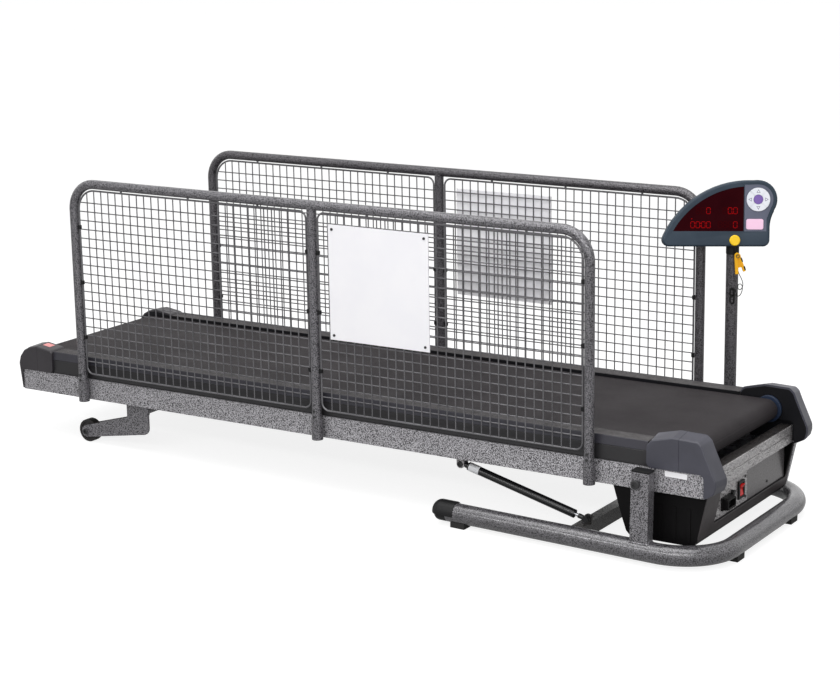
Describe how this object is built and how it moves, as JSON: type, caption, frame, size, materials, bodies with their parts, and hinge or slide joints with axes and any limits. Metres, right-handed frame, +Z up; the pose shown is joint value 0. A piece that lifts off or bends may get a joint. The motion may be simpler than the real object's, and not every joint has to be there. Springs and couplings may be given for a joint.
{
  "type": "dog treadmill",
  "caption": "Motor-driven dog treadmill: walking belt between mesh fences on a deck that pivots on a bent-tube floor base, with rear lift wheels, gas strut and post-mounted console.",
  "frame": {"origin": "on the floor, under the middle of the whole object", "axes": "+X forward along the deck to the motor end, +Y to the left side where the console stands, +Z up"},
  "size_m": [2.2048, 0.7406, 0.8346],
  "materials": {
    "hammertone_paint": "silver-vein speckled paint, satin",
    "black_plastic": "fine textured, satin",
    "rubber": "matte",
    "belt_cover": "matt woven pattern",
    "foot_rail": "ribbed, matte",
    "board": "waxed black",
    "zinc_steel": "zinc plated",
    "chromed_steel": "bright",
    "dark_steel": "black, satin",
    "sign_board": "white, semi-gloss",
    "cast_alloy": "plain",
    "console_shell": "blue-grey, satin",
    "display_red": "smoked, glossy",
    "panel_grey": "grey-violet, satin",
    "key_white": "satin",
    "key_purple": "satin",
    "key_pink": "satin",
    "rocker_red": "glossy",
    "safety_yellow": "satin",
    "cord_black": "braided"
  },
  "bodies": {
    "base": {"base_tube": "hammertone_paint", "pivot_posts": "hammertone_paint", "tube_plugs": "black_plastic", "base_cross_member": "hammertone_paint", "base_feet": "rubber", "pivot_bolts": "dark_steel"},
    "deck": {"side_rails": "hammertone_paint", "frame_cross_members": "hammertone_paint", "deck_cushions": "rubber", "deck_board": "board", "step_rails": "foot_rail", "step_skirts": "black_plastic", "walking_belt": "belt_cover", "roller_brackets": "dark_steel", "fasteners": "zinc_steel", "front_caps": "black_plastic", "rear_caps": "black_plastic", "motor_pan": "black_plastic", "switch_plate": "hammertone_paint", "blank_plate": "dark_steel", "power_inlet": "black_plastic", "switch_bezel": "black_plastic", "drive_motor": "dark_steel", "motor_mount": "dark_steel", "motor_controller": "cast_alloy", "drive_belt": "rubber", "fence_sockets": "hammertone_paint", "fence_frame_left": "hammertone_paint", "fence_frame_right": "hammertone_paint", "fence_mesh_left": "zinc_steel", "fence_mesh_right": "zinc_steel", "sign_plates": "sign_board", "console_post": "hammertone_paint"},
    "console": {"console_front": "console_shell", "console_back": "console_shell", "display_window": "display_red", "key_panel": "panel_grey"},
    "safety": {"safety_key": "safety_yellow", "safety_clip": "safety_yellow", "safety_cord": "cord_black", "cord_hank": "cord_black"},
    "strut_cylinder_body": {"strut_cylinder": "dark_steel"},
    "strut_rod_body": {"strut_rod": "chromed_steel"},
    "lift_frame_body": {"lift_frame": "hammertone_paint"},
    "lift_motor_body": {"lift_motor": "dark_steel"},
    "lift_screw_body": {"lift_screw": "zinc_steel"},
    "wheel_left_body": {"wheel_left": "rubber"},
    "wheel_right_body": {"wheel_right": "rubber"},
    "front_roller_body": {"front_roller": "zinc_steel"},
    "rear_roller_body": {"rear_roller": "zinc_steel"},
    "motor_pulley_body": {"motor_pulley": "zinc_steel"},
    "key_up_body": {"key_up": "key_white"},
    "key_down_body": {"key_down": "key_white"},
    "key_left_body": {"key_left": "key_white"},
    "key_right_body": {"key_right": "key_white"},
    "key_centre_body": {"key_centre": "key_purple"},
    "key_stop_body": {"key_stop": "key_pink"},
    "rocker_switch_body": {"rocker_switch": "rocker_red"},
    "breaker_button_body": {"breaker_button": "black_plastic"}
  },
  "joints": [
    {"name": "deck_fold", "type": "hinge", "parent": "base", "child": "deck", "pos_m": [0.89058, -0.0239, 0.203], "axis": [0, 1, 0], "range_deg": [-2, 40]},
    {"name": "strut_swing", "type": "hinge", "parent": "deck", "child": "strut_cylinder_body", "pos_m": [0.35575, -0.2699, 0.14179], "axis": [0, 1, 0], "range_deg": [-0.31, 5.28]},
    {"name": "strut_slide", "type": "slide", "parent": "strut_cylinder_body", "child": "strut_rod_body", "axis": [0.9738, 0, -0.2273], "range_m": [-0.00806, 0.15175]},
    {"name": "lift_tilt", "type": "hinge", "parent": "deck", "child": "lift_frame_body", "pos_m": [-0.69715, -0.0239, 0.17374], "axis": [0, 1, 0], "range_deg": [0, 25]},
    {"name": "lift_motor_swing", "type": "hinge", "parent": "deck", "child": "lift_motor_body", "pos_m": [-0.30807, -0.0239, 0.12588], "axis": [0, 1, 0], "range_deg": [-0.05, 0.32833]},
    {"name": "lift_screw_slide", "type": "slide", "parent": "lift_motor_body", "child": "lift_screw_body", "axis": [-0.9966, 0, -0.0829], "range_m": [-0.0005, 0.03552]},
    {"name": "wheel_left_spin", "type": "hinge", "parent": "lift_frame_body", "child": "wheel_left_body", "pos_m": [-0.88624, 0.2196, 0.0325], "axis": [0, 1, 0], "continuous": true},
    {"name": "wheel_right_spin", "type": "hinge", "parent": "lift_frame_body", "child": "wheel_right_body", "pos_m": [-0.88624, -0.2674, 0.0325], "axis": [0, 1, 0], "continuous": true},
    {"name": "front_roller_spin", "type": "hinge", "parent": "deck", "child": "front_roller_body", "pos_m": [0.97731, -0.0239, 0.26483], "axis": [0, 1, 0], "continuous": true},
    {"name": "rear_roller_spin", "type": "hinge", "parent": "deck", "child": "rear_roller_body", "pos_m": [-1.04825, -0.0239, 0.2224], "axis": [0, 1, 0], "continuous": true},
    {"name": "motor_pulley_spin", "type": "hinge", "parent": "deck", "child": "motor_pulley_body", "pos_m": [0.90715, -0.2819, 0.12833], "axis": [0, 1, 0], "continuous": true},
    {"name": "console_swivel", "type": "hinge", "parent": "deck", "child": "console", "pos_m": [0.829, 0.28845, 0.65981], "axis": [-0.0209, 0, 0.9998], "range_deg": [-8, 60]},
    {"name": "key_up_press", "type": "slide", "parent": "console", "child": "key_up_body", "axis": [-0.5363, 0.8305, -0.1504], "range_m": [0, 0.001], "stiffness_N_per_m": 2000},
    {"name": "key_down_press", "type": "slide", "parent": "console", "child": "key_down_body", "axis": [-0.5363, 0.8305, -0.1504], "range_m": [0, 0.001], "stiffness_N_per_m": 2000},
    {"name": "key_left_press", "type": "slide", "parent": "console", "child": "key_left_body", "axis": [-0.5363, 0.8305, -0.1504], "range_m": [0, 0.001], "stiffness_N_per_m": 2000},
    {"name": "key_right_press", "type": "slide", "parent": "console", "child": "key_right_body", "axis": [-0.5363, 0.8305, -0.1504], "range_m": [0, 0.001], "stiffness_N_per_m": 2000},
    {"name": "key_centre_press", "type": "slide", "parent": "console", "child": "key_centre_body", "axis": [-0.5363, 0.8305, -0.1504], "range_m": [0, 0.001], "stiffness_N_per_m": 2000},
    {"name": "key_stop_press", "type": "slide", "parent": "console", "child": "key_stop_body", "axis": [-0.5363, 0.8305, -0.1504], "range_m": [0, 0.001], "stiffness_N_per_m": 2000},
    {"name": "rocker_tip", "type": "hinge", "parent": "deck", "child": "rocker_switch_body", "pos_m": [1.02314, -0.0499, 0.12976], "axis": [0, 1, 0], "range_deg": [-20, 0]},
    {"name": "breaker_press", "type": "slide", "parent": "deck", "child": "breaker_button_body", "axis": [-0.9998, 0, -0.0209], "range_m": [0, 0.004], "stiffness_N_per_m": 2000},
    {"name": "safety_key_pull", "type": "slide", "parent": "console", "child": "safety", "axis": [0.5363, -0.8305, 0.1504], "range_m": [0, 0.03]}
  ],
  "couplings": [
    {"joint": "strut_swing", "follows": "deck_fold", "ratio": 0.1307},
    {"joint": "strut_slide", "follows": "deck_fold", "m_per_rad": 0.21665},
    {"joint": "lift_motor_swing", "follows": "lift_tilt", "ratio": 0.01113},
    {"joint": "lift_screw_slide", "follows": "lift_tilt", "m_per_rad": 0.08027},
    {"joint": "rear_roller_spin", "follows": "front_roller_spin", "ratio": 1},
    {"joint": "motor_pulley_spin", "follows": "front_roller_spin", "ratio": 2.5714}
  ]
}
